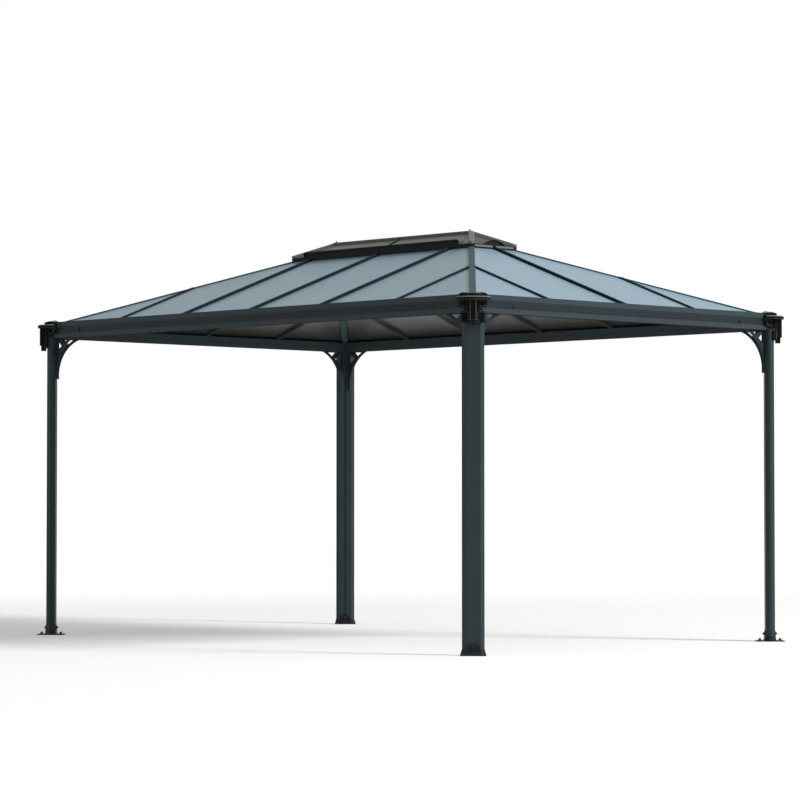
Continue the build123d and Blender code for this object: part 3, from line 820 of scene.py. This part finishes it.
# The sheets' blue-grey is partly their tint and partly a painted sky reflection; the short sheets are
# painted lighter than the long ones, top and underside, as painted light.
LONG_SHEET = TwinWall("twin_wall_polycarbonate_long", "#758e9a", "#809aa6", 0.38, 0.12, under="#62615f")
SHORT_SHEET_PAINTED_LIGHTER = TwinWall(
    "twin_wall_polycarbonate_short", "#7993a2", "#859fae", 0.38, 0.12,
    under="#6e6d6a", pattern=Pattern.ACROSS_Y,
)
# The bronze sheets' near-black underside is painted shade for the dark inside of the vent; the short bronze
# sheets are painted darker than the long ones as painted shade.
UPPER_LONG = TwinWall("bronze_twin_wall_long", "#4a4b47", "#565650", 0.4, 0.12, under="#1c1b19")
UPPER_SHORT_PAINTED_DARKER = TwinWall(
    "bronze_twin_wall_short_painted_darker", "#262929", "#303332", 0.4, 0.12, under="#1c1b19", pattern=Pattern.ACROSS_Y
)
# dark and opaque: partly painted shade for the inside of the vent
VENT_MESH = WireMesh("coated_wire_mesh", "#0d0f10", "#1b1e1f", 0.6, 0.1)
BLACK_STEEL = Steel("black_oxide_steel", "#2a2b2d", "#3a3b3d", 0.4)
SEAL = Rubber("rubber_glazing_seal", "#0b0d0f", "#141617", 0.7, 0.15)


# Sub-assemblies, with sizes in millimetres


@dataclass(frozen=True)
class HexBolt:
    """Bolt with a washer; its width is over the hexagon's corners, and the stub is the thread that shows."""

    width: float
    head: float
    washer: float
    stub: float
    washer_share: float = 0.15  # thickness of the washer in the head's height
    chamfer_share: float = 0.85  # height at which the head's chamfer starts
    crown_share: float = 0.87  # width of the head's top
    rod_share: float = 0.26  # radius of the thread in the head's width
    tip_share: float = 0.8  # where the thread's tip starts, and how wide it ends
    washer_sides: int = 28
    rod_sides: int = 16

    def surface(self) -> Surface:
        """Washer, chamfered hexagon head and threaded end, turned about Z.

        Returns:
            The surface, seated on Z = 0.
        """
        rim, half, rod = self.washer / 2, self.width / 2, self.rod_share * self.width
        base = self.washer_share * self.head
        top = base + self.head
        end = top + self.stub
        chamfer = base + self.chamfer_share * self.head
        tip = top + self.tip_share * self.stub
        disc = [(0, 0), (rim, 0), (rim, base), (0, base)]
        hexagon = [(0, base), (half, base), (half, chamfer), (self.crown_share * half, top), (0, top)]
        thread = [(0, top), (rod, top), (rod, tip), (self.tip_share * rod, end), (0, end)]
        return join(
            [revolve(disc, self.washer_sides), revolve(hexagon, 6), revolve(thread, self.rod_sides)]
        )


@dataclass
class Fasteners:
    """Bolts in the feet, screws in the beams, and the screwed ears of the corner mouldings."""

    measures: Measures
    anchor_bolt: HexBolt = HexBolt(22.0, 9.0, 28.0, 6.0)
    anchor_spacing: float = 137.0
    plate_thickness: float = 6.0
    tab_bolt: HexBolt = HexBolt(20.0, 8.0, 22.0, 4.0)
    tab_face: float = 36.3
    tab_bolt_height: float = 52.0
    beam_screw: HexBolt = HexBolt(18.0, 7.0, 30.0, 0.01)
    beam_screw_run: float = 365.0
    beam_screw_height: float = 48.0
    beam_screw_sunk: float = 1.5
    ear_screw: HexBolt = HexBolt(17.0, 8.0, 22.0, 3.0)
    ear_run: float = 86.5
    ear_height: float = 54.5
    ear_start: float = 46.0
    ear_radius: float = 26.5
    ear_slot: float = 13.0
    ear_steps: int = 17
    ear_low: float = 2.0
    ear_proud: float = 20.0
    # dark block below each ear, put where there is shade: painted shade
    shade_block_run: float = 45.0
    shade_block_width: float = 34.0
    shade_block_height: float = 36.0
    shade_block_low: float = -2.0
    shade_block_corner: float = 6.0

    def feet(self, corner: str) -> None:
        """Anchor bolts through the plate and bolts through the tabs of one foot.

        Args:
            corner: name of the corner.
        """
        out = np.array([*CORNERS[corner], 0.0]) / math.sqrt(2)
        across = np.cross(UP, out)
        anchors, through = [], []
        for way in BOTH_WAYS:
            place = self.measures.posts[corner] + way * out * self.anchor_spacing / 2 * MM
            place[2] = self.plate_thickness * MM
            anchors.append(frame_at(place, across, UP))
            place = self.measures.posts[corner] + way * out * self.tab_face * MM
            place[2] = self.tab_bolt_height * MM
            through.append(frame_at(place, across, way * out))
        anchor_bolts = self.anchor_bolt.surface().copies(anchors)
        build(f"anchor_bolts_{corner}", anchor_bolts, BLACK_STEEL)
        foot_bolts = self.tab_bolt.surface().copies(through)
        build(f"foot_bolts_{corner}", foot_bolts, BLACK_STEEL)

    def beams(self, side: Side) -> None:
        """Screws with washers on the banded face of one beam, near both of its corners.

        Args:
            side: side of the beam.
        """
        m = self.measures
        run = m.half_run(side) - self.beam_screw_run * MM
        frames = []
        for way in BOTH_WAYS:
            place = side.outward * (m.reach(side) - self.beam_screw_sunk * MM) + side.along * way * run
            place[2] = m.eave + self.beam_screw_height * MM
            frames.append(frame_at(place, UP, side.outward))
        screws = self.beam_screw.surface().copies(frames)
        build(f"beam_screws_{side.label}", screws, BLACK_STEEL)

    def horseshoe(self) -> np.ndarray:
        """Outline of one ear: two arms from the corner's core, joined by a half circle round the screw.

        Returns:
            (u, v) pairs in metres, u along the beam from its corner and v up from the screw.
        """
        start, radius, slot = self.ear_start, self.ear_radius, self.ear_slot
        middle, quarter = (self.ear_run, 0.0), np.pi / 2
        outer = arc(middle, radius, quarter, -quarter, self.ear_steps)
        inner = arc(middle, slot, -quarter, quarter, self.ear_steps)
        arms = [(start, -radius), (start, -slot)]
        return np.concatenate([[(start, radius)], outer, arms, inner, [(start, slot)]]) * MM

    def ears(self, corner: str) -> None:
        """Horseshoe with a screw on both ears of one corner moulding, and below each a dark block that is
        painted shade.

        Args:
            corner: name of the corner.
        """
        m = self.measures
        plan = np.diag([*CORNERS[corner], 0.0])
        end = np.array([m.half_x, m.half_y, 0.0]) * plan.sum(0) + UP * (m.eave + self.ear_height * MM)
        drop = self.shade_block_low + self.shade_block_height / 2 - self.ear_height
        shade_block = rounded_rectangle(self.shade_block_width, self.shade_block_height, self.shade_block_corner)
        shoes, frames = [], []
        for outward, inward in ((plan[0], -plan[1]), (plan[1], -plan[0])):
            path = np.stack([end + outward * depth * MM for depth in (self.ear_low, self.ear_proud)])
            shoes.append(carry(self.horseshoe(), path, inward, UP))
            # dark block under the ear: painted shade
            shoes.append(carry(shade_block, path + (inward * self.shade_block_run + UP * drop) * MM, inward, UP))
            frames.append(frame_at(path[0] + inward * self.ear_run * MM, UP, outward))
        build(f"ear_bosses_and_shade_blocks_{corner}", join(shoes), NYLON)
        screws = self.ear_screw.surface().copies(frames)
        build(f"ear_screws_{corner}", screws, BLACK_STEEL)


@dataclass
class RoofSeals:
    """Rubber seals along the rafters, end plugs on them and edge channels on the sheets."""

    measures: Measures
    rafter_spacing: float = 700.0
    ledge_width: float = 44.0
    cap_width: float = 22.0
    rafter_rise: float = 18.0
    jack_rise: float = 12.0
    hip_width: float = 41.0
    sheet_thickness: float = 10.0
    sheet_inset: float = 20.0
    seal_size: float = 3.0
    seal_steps: int = 5
    plug_corner: float = 3.0
    plug_sunk: float = 4.0
    plug_proud: float = 2.5
    channel_width: float = 20.0
    channel_wall: float = 1.2

    def places(self, side: Side) -> list[float]:
        """Rafter places along one eave; the outer ones are the jacks that end at the hips.

        Args:
            side: the slope.
        Returns:
            The places in metres from the middle.
        """
        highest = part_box(f"rafters_{side.label}")[1]
        jack = highest[0 if side.is_long else 1] - self.ledge_width / 2 * MM
        inner = self.rafter_spacing * MM
        return [-jack, -inner, 0.0, inner, jack] if side.is_long else [-jack, 0.0, jack]

    def hip_stop(self, side: Side) -> float:
        """Half the length of an eave up to the hip caps, at no inset."""
        return self.measures.half_run(side) - self.hip_width / 2 * math.sqrt(2) * MM

    def seals(self, side: Side) -> None:
        """Seal bead on both sides of every rafter of one slope, up to the ring or the hip cap.

        Args:
            side: the slope.
        """
        m = self.measures
        quarter = arc((0.0, 0.0), self.seal_size, 0.0, np.pi / 2, self.seal_steps)
        outline = np.concatenate([[(0.0, 0.0)], quarter]) * MM
        beads = []
        for place in self.places(side):
            for way in BOTH_WAYS:
                edge = place + way * self.cap_width / 2 * MM
                hip = self.hip_stop(side) - abs(edge + way * self.seal_size * MM)
                ends = (self.sheet_inset * MM, min(m.half_y - m.ring_y, hip))
                path = np.stack([m.on_slope(side, edge, t, self.sheet_thickness * MM) for t in ends])
                beads.append(carry(outline, path, way * side.along, m.slope_normal(side)))
        build(f"rafter_seals_{side.label}", join(beads), SEAL)

    def plugs(self, side: Side) -> None:
        """Rounded end plug on the lower end of every rafter of one slope.

        Args:
            side: the slope.
        """
        m = self.measures
        up_slope = m.up_slope(side) * MM
        places = self.places(side)
        plugs = []
        for place in places:
            rise = self.jack_rise if place in (places[0], places[-1]) else self.rafter_rise
            outline = rounded_rectangle(self.cap_width, rise, self.plug_corner)
            start = m.on_slope(side, place, self.sheet_inset * MM, (self.sheet_thickness + rise / 2) * MM)
            path = np.stack([start + self.plug_sunk * up_slope, start - self.plug_proud * up_slope])
            plugs.append(carry(outline, path, side.along, m.slope_normal(side)))
        build(f"rafter_plugs_{side.label}", join(plugs), NYLON)

    def channels(self, side: Side) -> None:
        """Angle strip over the lower edge of every sheet of one slope.

        Args:
            side: the slope.
        """
        m = self.measures
        width, wall, top = self.channel_width, self.channel_wall, self.sheet_thickness
        # Angle outline: u is up the slope from the sheet's edge, v is out of the sheet
        angle = [(0, 0), (0, top), (width, top), (width, top + wall), (-wall, top + wall), (-wall, 0)]
        outline = np.array(angle) * MM
        stop = self.hip_stop(side) - self.sheet_inset * MM
        half = (self.cap_width / 2 + self.seal_size) * MM
        places = self.places(side)
        starts = [-stop] + [place + half for place in places]
        ends = [place - half for place in places] + [stop]
        strips = []
        for pair in zip(starts, ends):
            path = np.stack([m.on_slope(side, place, self.sheet_inset * MM, 0.0) for place in pair])
            strips.append(carry(outline, path, m.up_slope(side), m.slope_normal(side)))
        build(f"sheet_channels_{side.label}", join(strips), RAFTER_COAT)


@dataclass
class VentTrim:
    """Wire mesh in the mouths of the vent hoods and pale sill strips on the ring under the short hoods, the
    strips' pale being painted light.
    """

    measures: Measures
    long_setback: float = 120.0
    long_height: float = 40.0
    long_corner: float = 25.0
    corner_steps: int = 8
    short_setback: float = 108.0
    arch_height: float = 40.0
    arch_steps: int = 14
    skin: float = 4.0
    slack: float = 0.6
    mesh_inset: float = 9.0
    mesh_thickness: float = 1.2
    sill_low: float = 15.0
    sill_high: float = 1.0
    sill_thickness: float = 1.5
    sill_corner: float = 0.5
    sill_end: float = 34.0
    rafter_half: float = 15.0

    def mouth(self, side: Side) -> np.ndarray:
        """Outline of one mouth, a little smaller than the opening.

        A long mouth is a low rectangle with rounded top corners, and a short one is an arch on a chord.

        Args:
            side: side of the hood.
        Returns:
            (u, v) pairs in metres, u along the eave and v up from the ring's top.
        """
        inset = self.skin + self.slack
        if side.is_long:
            radius = self.long_corner - inset
            edge = self.measures.ring_x / MM - self.long_setback - inset
            middle = (edge - radius, self.long_height - inset - radius)
            right = arc(middle, radius, 0.0, np.pi / 2, self.corner_steps)
        else:
            half = self.measures.ring_y / MM - self.short_setback
            radius = (half**2 + self.arch_height**2) / 2 / self.arch_height
            centre, inner = self.arch_height - radius, radius - inset
            start = math.asin((self.slack - centre) / inner)
            right = arc((0.0, centre), inner, start, np.pi / 2, self.arch_steps)
        right = np.concatenate([[(right[0, 0], self.slack)], right])
        return np.concatenate([right, right[::-1] * (-1, 1)]) * MM

    def mesh(self, side: Side) -> None:
        """Mesh panel just inside one mouth, opaque: a real mesh whose dark is partly painted shade for the
        inside of the hood.

        Args:
            side: side of the hood.
        """
        m = self.measures
        reach = m.ring_y if side.is_long else m.ring_x
        depths = (self.mesh_inset, self.mesh_inset + self.mesh_thickness)
        path = np.stack([side.outward * (reach - depth * MM) + UP * m.ring_top for depth in depths])
        panel = carry(self.mouth(side), path, side.along, UP)
        build(f"vent_mesh_{side.label}", panel, VENT_MESH)

    def lit_sills(self, side: Side) -> None:
        """Pale flashing strips on the ring's face under a short hood, one on each side of the middle rafter;
        set only on the short sides, their pale is painted light for the lit band of the ring.

        Args:
            side: side of the hood.
        """
        m = self.measures
        outline = rounded_rectangle(self.sill_thickness, self.sill_low - self.sill_high, self.sill_corner)
        face = side.outward * (m.ring_x + self.sill_thickness / 2 * MM)
        face[2] = m.ring_top - (self.sill_low + self.sill_high) / 2 * MM
        ends = (self.rafter_half * MM, m.ring_y - self.sill_end * MM)
        paths = [np.stack([face + way * side.along * end for end in ends]) for way in BOTH_WAYS]
        strips = join([carry(outline, path, side.outward, UP) for path in paths])
        # pale strips only on the short sides: painted light
        build(f"ring_sills_{side.label}", strips, UPPER_COAT)


@dataclass
class Dressing:
    """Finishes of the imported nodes, by the first of these words that a node's name holds."""

    rules: tuple[tuple[str, Finish], ...] = (
        ("post_", ANTHRACITE),
        ("foot_", FOOT_COAT),
        ("beam_", BEAM_COAT),
        ("corner_", NYLON),
        ("_brace_", BRACE_NYLON),
        ("hip_caps", UPPER_COAT),
        ("hip_", HIP_COAT),
        ("rafters_", RAFTER_COAT),
        ("upper_panel_front", UPPER_LONG),
        ("upper_panel_back", UPPER_LONG),
        ("upper_panel_", UPPER_SHORT_PAINTED_DARKER),
        ("panels_front", LONG_SHEET),
        ("panels_back", LONG_SHEET),
        ("panels_", SHORT_SHEET_PAINTED_LIGHTER),
        ("vent_ring", RING_COAT),
        ("upper_frame", RING_COAT),
        ("ridge_cap", UPPER_COAT),
        ("joint_strips", RING_COAT),
    )

    def apply(self) -> None:
        """Give every node its finish."""
        for name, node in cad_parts.items():
            finish = next(f for word, f in self.rules if word in name)
            node.data.materials.clear()
            node.data.materials.append(finish.material())
            log.info("%s: %s", name, finish.name)


@dataclass(frozen=True)
class Lamp:
    """Soft square area lamp; its place and edge are in metres, its power in watts."""

    name: str
    place: tuple[float, float, float]
    edge: float
    power: float

    def hang(self, aim: tuple[float, float, float]) -> None:
        """Put the lamp up so that it faces a point.

        Args:
            aim: the point in metres.
        """
        light = bpy.data.lights.new(self.name, "AREA")
        light.energy = self.power
        light.size = self.edge
        lamp = put(self.name, light)
        away = np.subtract(self.place, aim)
        tilt = math.atan2(math.hypot(away[0], away[1]), away[2])
        lamp.location = self.place
        lamp.rotation_euler = (tilt, 0.0, math.atan2(away[1], away[0]) + math.pi / 2)


@dataclass
class Studio:
    """Floor, light, background and camera, in metres."""

    floor_half: float = 14.0
    floor_colour: str = "#f4f4f3"
    floor_lift: float = 0.24
    fade_start: float = 4.0
    fade_end: float = 12.0
    sky_light: float = 0.33
    aim: tuple[float, float, float] = (0.0, 0.0, 1.4)
    lamps: tuple[Lamp, ...] = (
        Lamp("key", (27.0, 10.5, 19.5), 9.0, 10500.0),
        Lamp("fill", (-2.0, -13.0, 8.0), 7.0, 60.0),
    )
    sensor_mm: float = 36.0
    lens_mm: float = 139.11
    view_end: float = 200.0
    camera_place: tuple[float, float, float] = (15.5516, -15.0216, 0.9314)
    camera_tilt_deg: float = 91.932
    camera_turn_deg: float = 46.026

    @staticmethod
    def looked_at(tree: Tree) -> Node:
        """One where the camera, gloss or glass looks, nought where light is only gathered.

        Args:
            tree: node tree that gets the nodes.
        Returns:
            The node that gives the number.
        """
        rays = add_node(tree, "LightPath").outputs
        seen: Node | Socket = rays["Is Camera Ray"]
        for kind in ("Is Glossy Ray", "Is Transmission Ray"):
            seen = add_node(tree, "Math", {"operation": "MAXIMUM"}, {0: seen, 1: rays[kind]})
        return seen

    def floor(self) -> None:
        """A wide pale floor that fades out far from the gazebo, a flat grid of one cell."""
        material = bpy.data.materials.new("pale_studio_floor")
        material.use_nodes = True
        tree = material.node_tree
        tree.nodes.clear()
        paint = add_node(tree, "BsdfDiffuse", {"Color": linear(self.floor_colour)})
        seen = add_node(tree, "MapRange", {"To Max": self.floor_lift}, {"Value": self.looked_at(tree)})
        lift = add_node(tree, "Emission", links={"Strength": seen})
        near = add_node(tree, "AddShader", links={0: paint, 1: lift})
        open_air = add_node(tree, "BsdfTransparent")
        place = add_node(tree, "TexCoord").outputs["Object"]
        away = add_node(tree, "VectorMath", {"operation": "LENGTH"}, {0: place})
        limits = {"From Min": self.fade_start, "From Max": self.fade_end, "interpolation_type": "SMOOTHSTEP"}
        fade = add_node(tree, "MapRange", limits, {"Value": away})
        blend = add_node(tree, "MixShader", links={0: fade, 1: near, 2: open_air})
        add_node(tree, "OutputMaterial", links={"Surface": blend})
        mesh = bpy.data.meshes.new("studio_floor")
        h = self.floor_half
        mesh.from_pydata([(-h, -h, 0), (h, -h, 0), (h, h, 0), (-h, h, 0)], [], [(0, 1, 2, 3)])
        mesh.materials.append(material)
        floor = put("studio_floor", mesh)

    def background(self) -> None:
        """White where the camera, gloss and glass look, plainer where it lights the object."""
        world = bpy.data.worlds.new("studio")
        bpy.context.scene.world = world
        world.use_nodes = True
        tree = world.node_tree
        tree.nodes.clear()
        strength = add_node(tree, "MapRange", {"To Min": self.sky_light}, {"Value": self.looked_at(tree)})
        sky = add_node(tree, "Background", {"Color": linear("#ffffff")}, {"Strength": strength})
        add_node(tree, "OutputWorld", links={"Surface": sky})

    def camera(self) -> None:
        """Long lens near the diagonal, about hip high and tilted slightly up."""
        data = bpy.data.cameras.new("camera")
        data.sensor_width = self.sensor_mm
        data.lens = self.lens_mm
        data.clip_end = self.view_end
        camera = put("camera", data)
        camera.location = self.camera_place
        camera.rotation_euler = (math.radians(self.camera_tilt_deg), 0.0, math.radians(self.camera_turn_deg))
        bpy.context.scene.camera = camera

    def build(self) -> None:
        """Put up the floor, the background, the lamps and the camera."""
        bpy.context.scene.view_settings.view_transform = "Standard"
        self.floor()
        self.background()
        for lamp in self.lamps:
            lamp.hang(self.aim)
        self.camera()


def main() -> None:
    """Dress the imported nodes, add the small pieces and set the stage."""
    logging.basicConfig(level=logging.INFO, format="%(name)s %(message)s")
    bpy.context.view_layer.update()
    Dressing().apply()
    fasteners = Fasteners(MEASURES)
    for corner in CORNERS:
        fasteners.feet(corner)
        fasteners.ears(corner)
    seals = RoofSeals(MEASURES)
    vents = VentTrim(MEASURES)
    for side in Side:
        vents.mesh(side)
        if not side.is_long:
            vents.lit_sills(side)
        fasteners.beams(side)
        seals.seals(side)
        seals.plugs(side)
        seals.channels(side)
    Studio().build()


if __name__ == "__main__":
    main()
